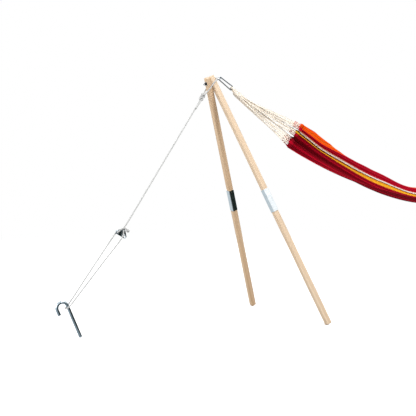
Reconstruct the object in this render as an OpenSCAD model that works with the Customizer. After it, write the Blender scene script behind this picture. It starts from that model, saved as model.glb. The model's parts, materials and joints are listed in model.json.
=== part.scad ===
// Hammock hung between two leaning two-legged timber stands, each held by a guy rope and a ground peg.
// Millimetres, +Z up, origin on the ground under the middle of the hammock, X along the hammock.

/* [Stands] */
// Length of a whole leg, both halves together
leg_len = 1800; // [1600:10:1900]
// Width of the square leg timber
pole_w = 35; // [30:1:40]
// Distance from the top end of a leg to its bolt
bolt_drop = 35; // [30:1:50]
// Lean of a stand away from the hammock, in degrees
lean = 22; // [18:0.5:26]
// Angle of the outer leg from the middle of the stand, in degrees
spread_outer = 15.3; // [13:0.1:18]
// Distance from the middle of the hammock to each bolt
stand_x = 2000; // [1900:10:2100]

/* [Sleeves] */
// Length of the steel sleeve that joins the two halves of a leg
sleeve_len = 160; // [120:5:200]
// Wall thickness of the sleeve
sleeve_wall = 2; // [1.5:0.1:2.5]

/* [Bolt] */
// Diameter of the eye bolt's shank
bolt_d = 10; // [8:1:12]
// Radius to the middle of the eye's rod
eye_mid_r = 15.5; // [15:0.5:17]
// Diameter of the eye's rod
eye_rod_d = 9; // [8:0.5:9]

/* [Snap hook] */
// Distance between the centres of the hook's two round ends
hook_len = 101.5; // [98:0.5:105]
// Radius to the middle of the rod at the end that holds the eye
hook_r_eye = 10; // [10:0.5:11]
// Radius to the middle of the rod at the end that holds the cords
hook_r_cord = 14; // [14:0.5:15]
// Diameter of the hook's rod
hook_rod_d = 9; // [8:0.5:9]
// Slope of the hook below level, in degrees
hook_slope = 33; // [30:1:36]

/* [Guy rope and peg] */
// Diameter of the guy rope
rope_d = 9; // [7:0.5:9]
// Diameter of the ground peg's rod
peg_d = 20; // [18:1:20]
// Length of the peg's straight shaft
peg_shaft = 216; // [200:2:240]
// Lean of the peg from upright, in degrees
peg_tilt = 22.5; // [15:0.5:30]

/* [Hammock] */
// Distance along the ground from a bolt to the end of the cloth
cloth_start = 669; // [640:1:700]
// Half of the cloth's hung width in the middle
cloth_half_w = 216; // [200:4:260]
// Half of the cloth's gathered width at its ends
gather_half_w = 121; // [100:1:130]
// Depth of the cloth's hollow across the middle
hollow_d = 88; // [60:4:100]
// Thickness of the cloth body in the middle
cloth_t = 6; // [5:0.5:8]

/* [Hidden] */
$fn = 48;

// gaps
leg_gap = 0.6;            // between the two legs where they cross
slide_gap = 0.3;          // around the lower pole in its sleeve
bore_gap = 0.08;          // around the bolt in the legs
fit_gap = 0.05;           // around screws and rivets
over = 1;                 // how far a cut runs past the face it opens

// legs
half_len = leg_len/2;
reach = leg_len - bolt_drop;
edge_bevel = 2;
top_bevel = 3;
foot_bevel = 4;
leg_x = pole_w/2 + leg_gap/2;
foot_flat = pole_w/2 - foot_bevel;
// the inner leg sits one pole width nearer the hammock, so it stands a little steeper to reach the ground
level_sum = reach*cos(spread_outer) + foot_flat*sin(spread_outer) + (pole_w + leg_gap)*tan(lean);
spread_inner = atan2(foot_flat, reach) + acos(level_sum/sqrt(reach*reach + foot_flat*foot_flat));
bolt_h = reach*cos(spread_outer)*cos(lean) + leg_x*sin(lean)
    + foot_flat*(sin(lean) + cos(lean)*sin(spread_outer));

// sleeves
sleeve_in = pole_w + 2*slide_gap;
sleeve_out = sleeve_in + 2*sleeve_wall;
joint_z = bolt_drop - half_len;
screw_z = joint_z + sleeve_len/2 - 18;
screw_r = 2;
screw_len = 20;
screw_head_r = 4.5;
screw_head_h = 2.2;

// bolt, washers and nut
face_x = pole_w + leg_gap/2;
washer_t = 2;
washer_r = 13;
nut_h = 8;
nut_flats = 17;
bolt_stub = 10;
eye_x = 59;
eye_pos = [eye_x*cos(lean), 0, bolt_h + eye_x*sin(lean)];

// snap hook, in the plane of the hammock's middle line
hook_play = 0.8;
hook_rod_r = hook_rod_d/2;
eye_rod_r = eye_rod_d/2;
hook_shift = hook_r_eye - hook_rod_r - eye_rod_r - hook_play;
hook_pos = eye_pos + eye_mid_r*[cos(lean), 0, sin(lean)]
    + hook_shift*[cos(hook_slope), 0, -sin(hook_slope)];
hook_taper = asin((hook_r_cord - hook_r_eye)/hook_len);
hook_side = hook_len*cos(hook_taper);
bury = 0.5;               // how far a straight rod runs into the bow that it continues
rod_r = hook_rod_r - 0.05;
lug_t = 4;
lug_r = 3.8;
gate_r = 4.2;
pivot_x = 11;
gate_tip = hook_side - 13;
nose_gap = 0.8;
rivet_r = 1.8;

// cord eye and its binding
cord_eye_r = 7.6;
cord_eye_mid_r = 13.5;
cord_eye_len = 26;
cord_droop = 9;
binding_r = 24;
binding_len = 45;

// guy rope
rope_r = rope_d/2;
knot_r = 16;
knot_len = 20;
knot_pos = [-63, 0, 1492];
rope_slope = 56.8;
tail_len = 98;
tail_shift = rope_d + 0.4;
// around both legs and over the eye, in the leaning frame of the bolt
loop_route = [[-88, -4, -66], [-60, -14, -52], [-35, -23, -37], [0, -30, -13], [25, -30, 0], [38, -27, 7],
    [44, -15, 10], [44, 0, 11], [44, 15, 10], [38, 27, 7], [25, 30, 0], [0, 32, -14], [-35, 35, -38],
    [-60, 23, -53], [-88, 4, -66]];
loop_up = [0.49, 0, -0.87];
// from the knot down through the runner, round the peg and back up through the runner
line_route = [[-80, 0, 1466], [-200, 0, 1282], [-330, 0, 1083], [-460, 0, 884], [-560, 0, 731], [-600, 7, 668],
    [-612, 12, 650], [-617, 7, 641], [-617, 0, 641], [-617, -7, 641], [-620, -12, 634], [-634, -13, 590],
    [-740, -13, 465], [-860, -14, 323], [-955, -15.2, 211], [-975, -15.5, 191], [-984, -12, 186], [-989, 0, 184],
    [-984, 12, 186], [-975, 15.5, 193], [-955, 15.2, 219], [-860, 14, 352], [-760, 13, 491],
    [-672, 12, 612], [-660, 11, 626], [-656, 6, 630], [-656, 0, 630], [-656, -7, 630], [-650, -13, 636],
    [-632, -15, 650], [-610, -14, 652], [-596, -9, 642]];
line_up = [0.8, 0.05, -0.55];
stopper_pos = [-589, -6, 634];
stopper_r = 8;

// runner
runner_t = 5;
runner_r = 12;
runner_hole_r = 6.5;
runner_holes = [[-617, 641], [-656, 630], [-609, 601]];

// peg
peg_r = peg_d/2;
peg_bend_r = 33;
peg_free = 35;
peg_tip_bevel = 3;
peg_x = -895;

// hammock cloth
cloth_end_x = stand_x - cloth_start;
cloth_low = 807;
cloth_rise = 760;
cloth_round = 1.18;
end_roll = 78;
mid_roll = 12;
end_lean = 45;
// how sharply the roll, the width and the hollow change towards the cloth's ends
roll_bend = 1.6;
width_bend = 1.25;
hollow_bend = 2.5;
thick_bend = 8;
end_hollow = 8;
end_t = 20;
stations = 28;
across = 12;

// ---- frames and shared shapes ----

module at_stand(end) {
    rotate([0, 0, end == "a" ? 0 : 180])
        translate([-stand_x, 0, 0])
            children();
}

module at_bolt(end) {
    at_stand(end)
        translate([0, 0, bolt_h])
            rotate([0, -lean, 0])
                children();
}

module outer_leg(end) {
    at_bolt(end)
        translate([-leg_x, 0, 0])
            rotate([spread_outer, 0, 0])
                children();
}

module inner_leg(end) {
    at_bolt(end)
        translate([leg_x, 0, 0])
            rotate([-spread_inner, 0, 0])
                children();
}

module at_hook(end) {
    at_stand(end)
        translate(hook_pos)
            rotate([0, hook_slope, 0])
                children();
}

module bevelled_square(w, c) {
    h = w/2;
    polygon([[h - c, -h], [h, -h + c], [h, h - c], [h - c, h], [-h + c, h], [-h, h - c], [-h, -h + c], [-h + c, -h]]);
}

// four cuts that bevel the end of a pole at height z; side is 1 for a top end and -1 for a bottom end
module end_cuts(z, c, side) {
    h = pole_w/2;
    for (turn = [0:90:270])
        rotate([0, 0, turn])
            rotate([90, 0, 0])
                linear_extrude(height = pole_w + 2*over, center = true)
                    polygon([[h - c - over, z + side*over], [h + over, z - side*(c + over)],
                        [h + over, z + side*over]]);
}

function unit(v) = v/norm(v);
function route_dir(p, i) = unit(p[min(i + 1, len(p) - 1)] - p[max(i - 1, 0)]);

// a round tube along a list of points; up is a direction that the route never follows
module tube(route, r, up, sides = 10) {
    n = len(route);
    points = [for (i = [0:n - 1])
        let (d = route_dir(route, i), a = unit(cross(d, up)), b = cross(a, d))
        for (k = [0:sides - 1])
            route[i] + r*(cos(360*k/sides)*a + sin(360*k/sides)*b)];
    walls = [for (i = [0:n - 2])
        for (k = [0:sides - 1])
            [i*sides + k, i*sides + (k + 1) % sides, (i + 1)*sides + (k + 1) % sides, (i + 1)*sides + k]];
    first = [for (k = [sides - 1:-1:0]) k];
    last = [for (k = [0:sides - 1]) (n - 1)*sides + k];
    polyhedron(points, concat(walls, [first, last]), convexity = 6);
}

// ---- legs ----

module upper_pole() {
    difference() {
        translate([0, 0, joint_z])
            linear_extrude(height = half_len)
                bevelled_square(pole_w, edge_bevel);
        end_cuts(bolt_drop, top_bevel, 1);
        rotate([0, 90, 0])
            cylinder(r = bolt_d/2 + bore_gap, h = pole_w + 2*over, center = true);
        children();
    }
}

module lower_pole() {
    difference() {
        translate([0, 0, bolt_drop - leg_len])
            linear_extrude(height = half_len - slide_gap)
                bevelled_square(pole_w, edge_bevel);
        end_cuts(bolt_drop - leg_len, foot_bevel, -1);
    }
}

module sleeve() {
    difference() {
        translate([0, 0, joint_z - sleeve_len/2])
            linear_extrude(height = sleeve_len)
                difference() {
                    bevelled_square(sleeve_out, edge_bevel + 0.6);
                    bevelled_square(sleeve_in, edge_bevel - 0.2);
                }
        children();
    }
}

// the screw's hole, or the screw itself, from the sleeve's +X face inwards
module screw_hole() {
    translate([sleeve_out/2 + over, 0, screw_z])
        rotate([0, -90, 0])
            cylinder(r = screw_r + fit_gap, h = screw_len + over + fit_gap, $fn = 24);
}

module sleeve_screw() {
    translate([sleeve_out/2, 0, screw_z])
        rotate([0, -90, 0])
            cylinder(r = screw_r, h = screw_len, $fn = 24);
    translate([sleeve_out/2, 0, screw_z])
        rotate([0, 90, 0])
            cylinder(r = screw_head_r, h = screw_head_h, $fn = 32);
}

module upper_pole_outer(end) {
    color("burlywood")
        outer_leg(end)
            upper_pole()
                rotate([0, 0, 90])
                    screw_hole();
}

module upper_pole_inner(end) {
    color("wheat")
        inner_leg(end)
            upper_pole()
                screw_hole();
}

module lower_pole_outer(end) {
    color("burlywood")
        outer_leg(end)
            lower_pole();
}

module lower_pole_inner(end) {
    color("wheat")
        inner_leg(end)
            lower_pole();
}

module sleeve_outer(end) {
    color("slategray")
        outer_leg(end)
            sleeve()
                rotate([0, 0, 90])
                    screw_hole();
}

module sleeve_inner(end) {
    color("gainsboro")
        inner_leg(end)
            sleeve()
                screw_hole();
}

module sleeve_screw_outer(end) {
    color("silver")
        outer_leg(end)
            rotate([0, 0, 90])
                sleeve_screw();
}

module sleeve_screw_inner(end) {
    color("silver")
        inner_leg(end)
            sleeve_screw();
}

// ---- top fittings ----

module eye_bolt(end) {
    shank_start = -(face_x + washer_t + nut_h + bolt_stub);
    color("silver")
        at_bolt(end) {
            translate([shank_start, 0, 0])
                rotate([0, 90, 0])
                    cylinder(r = bolt_d/2, h = eye_x - eye_mid_r - shank_start);
            translate([eye_x, 0, 0])
                rotate_extrude()
                    translate([eye_mid_r, 0])
                        circle(r = eye_rod_r, $fn = 32);
        }
}

module bolt_washers(end) {
    color("silver")
        at_bolt(end)
            for (x = [-face_x - washer_t, face_x])
                translate([x, 0, 0])
                    rotate([0, 90, 0])
                        difference() {
                            cylinder(r = washer_r, h = washer_t);
                            translate([0, 0, -over])
                                cylinder(r = bolt_d/2 + 3*bore_gap, h = washer_t + 2*over);
                        }
}

module bolt_nut(end) {
    color("dimgray")
        at_bolt(end)
            translate([-face_x - washer_t - nut_h, 0, 0])
                rotate([0, 90, 0])
                    difference() {
                        cylinder(r = nut_flats/2/cos(30), h = nut_h, $fn = 6);
                        translate([0, 0, -over])
                            cylinder(r = bolt_d/2 + fit_gap, h = nut_h + 2*over);
                    }
}

// ---- guy rope ----

module guy_loop(end) {
    color("white")
        at_bolt(end)
            tube(loop_route, rope_r, loop_up);
}

module guy_knot(end) {
    color("white")
        at_stand(end)
            translate(knot_pos)
                rotate([0, 90 - rope_slope, 0]) {
                    translate([0, 0, -knot_len/2])
                        cylinder(r = knot_r, h = knot_len);
                    for (z = [-knot_len/2, knot_len/2])
                        translate([0, 0, z])
                            sphere(r = knot_r);
                    // the rope's doubled tail beside the line
                    translate([0, -tail_shift, -tail_len])
                        cylinder(r = rope_r, h = tail_len, $fn = 24);
                }
}

module guy_line(end) {
    color("white")
        at_stand(end)
            tube(line_route, rope_r, line_up);
}

module stopper_knot(end) {
    color("white")
        at_stand(end)
            translate(stopper_pos)
                sphere(r = stopper_r);
}

module rope_runner(end) {
    color("gray")
        at_stand(end)
            difference() {
                rotate([90, 0, 0])
                    linear_extrude(height = runner_t, center = true)
                        hull()
                            for (p = runner_holes)
                                translate(p)
                                    circle(r = runner_r, $fn = 32);
                for (p = runner_holes)
                    translate([p[0], 0, p[1]])
                        rotate([90, 0, 0])
                            cylinder(r = runner_hole_r, h = runner_t + 2*over, center = true);
            }
}

module ground_peg(end) {
    color("lightsteelblue")
        at_stand(end)
            translate([peg_x, 0, (peg_r - peg_tip_bevel)*sin(peg_tilt)])
                rotate([0, -peg_tilt, 0]) {
                    cylinder(r1 = peg_r - peg_tip_bevel, r2 = peg_r, h = peg_tip_bevel);
                    translate([0, 0, peg_tip_bevel])
                        cylinder(r = peg_r, h = peg_shaft - peg_tip_bevel);
                    translate([-peg_bend_r, 0, peg_shaft])
                        rotate([90, 0, 0])
                            rotate_extrude(angle = 180)
                                translate([peg_bend_r, 0])
                                    circle(r = peg_r);
                    translate([-2*peg_bend_r, 0, peg_shaft - peg_free])
                        cylinder(r = peg_r, h = peg_free);
                }
}

// ---- snap hook ----

module bow(r, from, turn) {
    rotate([90, 0, 0])
        rotate([0, 0, from])
            rotate_extrude(angle = turn)
                translate([r, 0])
                    circle(r = hook_rod_r, $fn = 32);
}

// along the upper side of the hook, from where the eye's bow ends
module on_gate_side() {
    rotate([0, -hook_taper, 0])
        translate([0, 0, hook_r_eye])
            children();
}

module rod_x(from, to, r) {
    translate([from, 0, 0])
        rotate([0, 90, 0])
            cylinder(r = r, h = to - from, $fn = 32);
}

module snap_hook(end) {
    color("lightgray")
        at_hook(end) {
            bow(hook_r_eye, 90 + hook_taper, 180 - 2*hook_taper);
            translate([hook_len, 0, 0])
                bow(hook_r_cord, -90 - hook_taper, 180 + 2*hook_taper);
            rotate([0, hook_taper, 0])
                translate([0, 0, -hook_r_eye])
                    rod_x(-bury, hook_side + bury, rod_r);
            on_gate_side() {
                rod_x(-bury, pivot_x - gate_r - 1, rod_r);
                difference() {
                    union() {
                        translate([0, -lug_t/2, -lug_r])
                            cube([pivot_x, lug_t, 2*lug_r]);
                        translate([pivot_x, 0, 0])
                            rotate([90, 0, 0])
                                cylinder(r = lug_r, h = lug_t, center = true);
                    }
                    translate([pivot_x, 0, 0])
                        rotate([90, 0, 0])
                            cylinder(r = rivet_r + fit_gap, h = lug_t + 2*over, center = true, $fn = 24);
                }
                rod_x(gate_tip + nose_gap, hook_side + bury, rod_r);
            }
        }
}

module snap_gate(end) {
    color("gainsboro")
        at_hook(end)
            on_gate_side()
                difference() {
                    union() {
                        rod_x(pivot_x, gate_tip, gate_r);
                        translate([pivot_x, 0, 0])
                            rotate([90, 0, 0])
                                cylinder(r = gate_r, h = 2*gate_r - 1, center = true);
                    }
                    translate([pivot_x - gate_r - over, -lug_t/2 - slide_gap, -gate_r - over])
                        cube([2*gate_r + 1.5*over, lug_t + 2*slide_gap, 2*gate_r + 2*over]);
                    translate([pivot_x, 0, 0])
                        rotate([90, 0, 0])
                            cylinder(r = rivet_r + fit_gap, h = 2*gate_r + 2*over, center = true, $fn = 24);
                }
}

module gate_rivet(end) {
    color("gray")
        at_hook(end)
            on_gate_side()
                translate([pivot_x, 0, 0])
                    rotate([90, 0, 0])
                        cylinder(r = rivet_r, h = 2*gate_r - 1, center = true, $fn = 24);
}

// ---- hammock ----

module at_cord_eye(end) {
    at_hook(end)
        translate([hook_len + hook_r_cord, 0, 0])
            rotate([0, cord_droop, 0])
                children();
}

module cord_eye(end) {
    color("ivory")
        at_cord_eye(end) {
            rotate([0, 0, 90])
                rotate_extrude(angle = 180)
                    translate([cord_eye_mid_r, 0])
                        circle(r = cord_eye_r, $fn = 32);
            for (y = [-cord_eye_mid_r, cord_eye_mid_r])
                translate([0, y, 0])
                    rod_x(0, cord_eye_len, cord_eye_r);
        }
}

module cord_binding(end) {
    color("ivory")
        at_cord_eye(end)
            rod_x(cord_eye_len, cord_eye_len + binding_len, binding_r);
}

// the cloth's middle line and its cross-section; s runs from -1 at the +X end to 1 at the -X end
function mid_z(x) = cloth_low + cloth_rise*(sqrt(pow(x/1000, 2) + pow(cloth_round, 2)) - cloth_round);
function mix(a, b, f) = a + (b - a)*f;
function roll(s) = mix(mid_roll, end_roll, pow(abs(s), roll_bend));
function half_w(s) = mix(cloth_half_w, gather_half_w, pow(abs(s), width_bend));
function hollow(s) = mix(hollow_d, end_hollow, pow(abs(s), hollow_bend));
function body_t(s) = mix(cloth_t, end_t, pow(abs(s), thick_bend));
function cloth_up(s) = [sin(end_lean*s*abs(s)), 0, cos(end_lean*s*abs(s))];
function cloth_point(s, v, off) =
    let (x = -s*cloth_end_x, up = cloth_up(s), side = [0, 1, 0])
    [x, 0, mid_z(x)]
    + (cos(roll(s))*side + sin(roll(s))*up)*half_w(s)*v
    + (cos(roll(s))*up - sin(roll(s))*side)*(hollow(s)*(v*v - 1/3) + off);

module cord_fan(end) {
    turn = end == "a" ? 1 : -1;
    fan_end_r = 9;
    back = 10;
    color("ivory")
        hull() {
            at_cord_eye(end)
                rod_x(cord_eye_len + binding_len, cord_eye_len + binding_len + 1, binding_r - 4);
            for (v = [-1, 1])
                translate(cloth_point(turn, v*0.96, 0) + turn*[-back*cos(end_lean), 0, 0]
                    + [0, 0, back*sin(end_lean)])
                    sphere(r = fan_end_r, $fn = 16);
        }
}

module hammock_cloth() {
    ring = 2*(across + 1);
    points = [for (i = [0:stations])
        let (s = 1 - 2*i/stations, t = body_t(s))
        concat(
            [for (k = [0:across]) cloth_point(s, -1 + 2*k/across, -t/2)],
            [for (k = [across:-1:0]) cloth_point(s, -1 + 2*k/across, t/2)])];
    flat = [for (row = points) for (p = row) p];
    walls = [for (i = [0:stations - 1])
        for (k = [0:ring - 1])
            let (a = i*ring + k, b = i*ring + (k + 1) % ring)
            each [[a, a + ring, b + ring], [a, b + ring, b]]];
    // each end is closed by quads that join the lower row to the upper row
    first = [for (k = [0:across - 1]) [k, k + 1, ring - 2 - k, ring - 1 - k]];
    last = [for (quad = first) [for (j = [3:-1:0]) quad[j] + stations*ring]];
    color("firebrick")
        polyhedron(flat, concat(walls, first, last), convexity = 10);
}

upper_pole_outer("a");  // upper_pole_outer_a
lower_pole_outer("a");  // lower_pole_outer_a
upper_pole_inner("a");  // upper_pole_inner_a
lower_pole_inner("a");  // lower_pole_inner_a
sleeve_outer("a");  // sleeve_outer_a
sleeve_inner("a");  // sleeve_inner_a
sleeve_screw_outer("a");  // sleeve_screw_outer_a
sleeve_screw_inner("a");  // sleeve_screw_inner_a
eye_bolt("a");  // eye_bolt_a
bolt_washers("a");  // bolt_washers_a
bolt_nut("a");  // bolt_nut_a
guy_loop("a");  // guy_loop_a
guy_knot("a");  // guy_knot_a
guy_line("a");  // guy_line_a
stopper_knot("a");  // stopper_knot_a
rope_runner("a");  // rope_runner_a
ground_peg("a");  // ground_peg_a
snap_hook("a");  // snap_hook_a
snap_gate("a");  // snap_gate_a
gate_rivet("a");  // gate_rivet_a
cord_eye("a");  // cord_eye_a
cord_binding("a");  // cord_binding_a
cord_fan("a");  // cord_fan_a
upper_pole_outer("b");  // upper_pole_outer_b
lower_pole_outer("b");  // lower_pole_outer_b
upper_pole_inner("b");  // upper_pole_inner_b
lower_pole_inner("b");  // lower_pole_inner_b
sleeve_outer("b");  // sleeve_outer_b
sleeve_inner("b");  // sleeve_inner_b
sleeve_screw_outer("b");  // sleeve_screw_outer_b
sleeve_screw_inner("b");  // sleeve_screw_inner_b
eye_bolt("b");  // eye_bolt_b
bolt_washers("b");  // bolt_washers_b
bolt_nut("b");  // bolt_nut_b
guy_loop("b");  // guy_loop_b
guy_knot("b");  // guy_knot_b
guy_line("b");  // guy_line_b
stopper_knot("b");  // stopper_knot_b
rope_runner("b");  // rope_runner_b
ground_peg("b");  // ground_peg_b
snap_hook("b");  // snap_hook_b
snap_gate("b");  // snap_gate_b
gate_rivet("b");  // gate_rivet_b
cord_eye("b");  // cord_eye_b
cord_binding("b");  // cord_binding_b
cord_fan("b");  // cord_fan_b
hammock_cloth();
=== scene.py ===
"""Looks for a hammock hung between two leaning stands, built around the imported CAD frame. Metres, +Z up."""
import json
import math

import bmesh
import bpy
import numpy as np
from mathutils import Matrix, Vector


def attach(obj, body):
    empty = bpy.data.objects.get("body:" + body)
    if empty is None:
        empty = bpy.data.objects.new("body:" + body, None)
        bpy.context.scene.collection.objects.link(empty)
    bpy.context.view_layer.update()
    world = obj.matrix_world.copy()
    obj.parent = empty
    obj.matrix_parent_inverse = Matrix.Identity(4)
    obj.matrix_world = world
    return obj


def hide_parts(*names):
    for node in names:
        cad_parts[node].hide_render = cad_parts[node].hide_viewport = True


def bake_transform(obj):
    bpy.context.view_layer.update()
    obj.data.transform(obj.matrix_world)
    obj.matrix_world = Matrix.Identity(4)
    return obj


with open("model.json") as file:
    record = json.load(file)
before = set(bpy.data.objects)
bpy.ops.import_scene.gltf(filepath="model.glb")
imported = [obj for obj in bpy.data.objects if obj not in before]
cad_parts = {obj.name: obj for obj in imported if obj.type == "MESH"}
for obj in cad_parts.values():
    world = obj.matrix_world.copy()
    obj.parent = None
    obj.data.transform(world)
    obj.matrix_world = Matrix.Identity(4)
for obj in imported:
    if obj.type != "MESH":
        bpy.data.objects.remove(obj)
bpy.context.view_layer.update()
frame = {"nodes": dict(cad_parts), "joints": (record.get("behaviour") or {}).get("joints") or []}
nodes = frame["nodes"]
joints = {j["name"]: j for j in frame["joints"]}
scene = bpy.context.scene

ENDS = ("a", "b")
HALF_TURN = {"a": Matrix.Identity(4), "b": Matrix.Rotation(math.pi, 4, "Z")}
MIRROR = {"a": np.array([1.0, 1.0, 1.0]), "b": np.array([-1.0, 1.0, 1.0])}

# ---- camera and lights ----

CAMERA_AZIMUTH = math.radians(-28.5)
CAMERA_HEIGHT_ANGLE = math.radians(2.0)
CAMERA_DISTANCE = 4.79
CAMERA_LENS = 63.0
SENSOR = 36.0
FAR_CLIP = 200
BOLT_A = Vector(joints["leg_fold_a"]["pos_m"])
LOOK_AT = Vector((BOLT_A.x - 0.02, 0.0, 0.768))

# the studio: how much it lights matt things, in what colour, and what it looks like in a mirror
AMBIENT = 0.74
AMBIENT_COLOUR = (0.97, 0.98, 1.0, 1)
MIRRORED_TOP = (1.05, 1.08, 1.10, 1)
MIRRORED_LOW_PALE = (0.71, 0.78, 0.82)
MIRRORED_LOW_DARK = (0.015, 0.022, 0.020)
DARK_SIDE = (0.72, -0.69, 0.0)


def towards(azimuth, height):
    """The direction from the target to a viewer at that azimuth and height angle."""
    level = math.cos(height)
    return Vector((math.sin(azimuth) * level, -math.cos(azimuth) * level, math.sin(height)))


def aim(thing, direction, distance):
    """Stand a camera or light at that distance in that direction from the target, and turn it to the target."""
    thing.location = LOOK_AT + direction * distance
    thing.rotation_mode = "QUATERNION"
    thing.rotation_quaternion = (-direction).to_track_quat("-Z", "Y")


def make_camera():
    """A long lens a little above the ground, in front and to the left of the -X stand."""
    data = bpy.data.cameras.new("camera")
    data.sensor_width = SENSOR
    data.lens = CAMERA_LENS
    data.clip_end = FAR_CLIP
    camera = bpy.data.objects.new("camera", data)
    scene.collection.objects.link(camera)
    aim(camera, towards(CAMERA_AZIMUTH, CAMERA_HEIGHT_ANGLE), CAMERA_DISTANCE)
    scene.camera = camera


def area_light(name, azimuth, height, distance, size, power):
    """A white square light, at an azimuth and height angle in degrees."""
    data = bpy.data.lights.new(name, "AREA")
    data.shape = "SQUARE"
    data.size = size
    data.energy = power
    light = bpy.data.objects.new(name, data)
    scene.collection.objects.link(light)
    aim(light, towards(math.radians(azimuth), math.radians(height)), distance)


def make_world():
    """White all round for the eye. Metal mirrors a white top half and a low half that is dark at the front
    right."""
    world = bpy.data.worlds.new("studio")
    scene.world = world
    world.use_nodes = True
    tree = world.node_tree
    tree.nodes.clear()
    link = tree.links.new

    def ramp(factor, *stops):
        """The colour at a factor, eased between two stops."""
        made = tree.nodes.new("ShaderNodeValToRGB")
        made.color_ramp.interpolation = "EASE"
        for element, (place, colour) in zip(made.color_ramp.elements, stops):
            element.position = place
            element.color = (*colour, 1)
        link(factor, made.inputs[0])
        return made.outputs[0]

    def half(value):
        """A value from -1 to 1, brought to 0 to 1."""
        made = tree.nodes.new("ShaderNodeMath")
        made.operation = "MULTIPLY_ADD"
        made.inputs[1].default_value = 0.5
        made.inputs[2].default_value = 0.5
        link(value, made.inputs[0])
        return made.outputs[0]

    coords = tree.nodes.new("ShaderNodeTexCoord")
    split = tree.nodes.new("ShaderNodeSeparateXYZ")
    side = tree.nodes.new("ShaderNodeVectorMath")
    side.operation = "DOT_PRODUCT"
    side.inputs[1].default_value = DARK_SIDE
    link(coords.outputs["Generated"], split.inputs[0])
    link(coords.outputs["Generated"], side.inputs[0])
    low = ramp(half(side.outputs["Value"]), (0.61, MIRRORED_LOW_PALE), (0.72, MIRRORED_LOW_DARK))
    colour = tree.nodes.new("ShaderNodeMix")
    colour.data_type = "RGBA"
    link(ramp(half(split.outputs["Z"]), (0.56, (0, 0, 0)), (0.63, (1, 1, 1))), colour.inputs[0])
    link(low, colour.inputs[6])
    colour.inputs[7].default_value = MIRRORED_TOP
    seen = tree.nodes.new("ShaderNodeBackground")
    seen.inputs["Color"].default_value = (1, 1, 1, 1)
    diffuse = tree.nodes.new("ShaderNodeBackground")
    diffuse.inputs["Color"].default_value = AMBIENT_COLOUR
    diffuse.inputs["Strength"].default_value = AMBIENT
    glossy = tree.nodes.new("ShaderNodeBackground")
    path = tree.nodes.new("ShaderNodeLightPath")
    first = tree.nodes.new("ShaderNodeMixShader")
    second = tree.nodes.new("ShaderNodeMixShader")
    output = tree.nodes.new("ShaderNodeOutputWorld")
    link(colour.outputs[2], glossy.inputs["Color"])
    link(path.outputs["Is Glossy Ray"], first.inputs[0])
    link(diffuse.outputs[0], first.inputs[1])
    link(glossy.outputs[0], first.inputs[2])
    link(path.outputs["Is Camera Ray"], second.inputs[0])
    link(first.outputs[0], second.inputs[1])
    link(seen.outputs[0], second.inputs[2])
    link(second.outputs[0], output.inputs["Surface"])


make_camera()
make_world()
area_light("key", azimuth=10, height=44, distance=6.0, size=2.4, power=230)
area_light("fill", azimuth=-88, height=9, distance=6.0, size=4.0, power=220)
area_light("back", azimuth=165, height=50, distance=7.0, size=4.0, power=110)
scene.view_settings.view_transform = "Standard"

# ---- materials ----


class Shader:
    """A Principled material with short calls for its nodes."""

    def __init__(self, name, **values):
        self.material = bpy.data.materials.new(name)
        self.material.use_nodes = True
        self.tree = self.material.node_tree
        self.bsdf = self.tree.nodes["Principled BSDF"]
        for key, value in values.items():
            self.bsdf.inputs[key.replace("_", " ")].default_value = value

    def node(self, kind, settings=None, **inputs):
        """A new node. Inputs go by name, or by number as i0, i1 and so on, and take values or sockets."""
        made = self.tree.nodes.new("ShaderNode" + kind)
        for key, value in (settings or {}).items():
            setattr(made, key, value)
        for key, value in inputs.items():
            socket = made.inputs[int(key[1:]) if key[0] == "i" and key[1:].isdigit() else key.replace("_", " ")]
            if isinstance(value, bpy.types.NodeSocket):
                self.tree.links.new(value, socket)
            else:
                socket.default_value = value
        return made

    def feed(self, **sockets):
        """Link sockets to the Principled shader's own inputs."""
        for key, value in sockets.items():
            self.tree.links.new(value, self.bsdf.inputs[key.replace("_", " ")])

    def coords(self, kind="Object"):
        return self.node("TexCoord").outputs[kind]

    def scaled(self, vector, scale, turn=(0, 0, 0), shift=(0, 0, 0)):
        return self.node("Mapping", Vector=vector, Scale=scale, Rotation=turn, Location=shift).outputs[0]

    def noise(self, vector, scale=1.0, detail=3.0, distortion=0.0):
        made = self.node("TexNoise", Vector=vector, Scale=scale, Detail=detail, Distortion=distortion)
        return made.outputs["Fac"]

    def wave(self, vector, direction, scale, **inputs):
        settings = {"wave_type": "BANDS", "bands_direction": direction}
        return self.node("TexWave", settings, Vector=vector, Scale=scale, **inputs).outputs["Fac"]

    def ramp(self, factor, *stops, interpolation="LINEAR"):
        """The colour at a factor, from stops of place and colour."""
        made = self.node("ValToRGB", Fac=factor)
        made.color_ramp.interpolation = interpolation
        elements = made.color_ramp.elements
        for place, _ in stops[2:]:
            elements.new(place)
        for element, (place, colour) in zip(sorted(elements, key=lambda e: e.position), sorted(stops)):
            element.position = place
            element.color = (*colour, 1)
        return made.outputs["Color"]

    def mix(self, factor, one, two, blend="MIX"):
        """Two colours mixed. The factor and the colours are sockets or values."""
        made = self.node("Mix", {"data_type": "RGBA", "blend_type": blend})
        for index, value in ((0, factor), (6, one), (7, two)):
            if isinstance(value, bpy.types.NodeSocket):
                self.tree.links.new(value, made.inputs[index])
            else:
                made.inputs[index].default_value = value if index == 0 else (*value, 1)
        return made.outputs[2]

    def maths(self, operation, one, two=0.0, three=0.0):
        return self.node("Math", {"operation": operation}, i0=one, i1=two, i2=three).outputs[0]

    def bump(self, height, strength, distance, normal=None):
        """A bumped normal, on top of another one if that is given."""
        made = self.node("Bump", Height=height, Strength=strength, Distance=distance)
        if normal is not None:
            self.tree.links.new(normal, made.inputs["Normal"])
        return made.outputs[0]


def linear(red, green, blue):
    """A colour given in 0-255 display values, as linear light."""
    return tuple((c / 255 / 12.92) if c <= 10 else ((c / 255 + 0.055) / 1.055) ** 2.4
                 for c in (red, green, blue))


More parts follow.
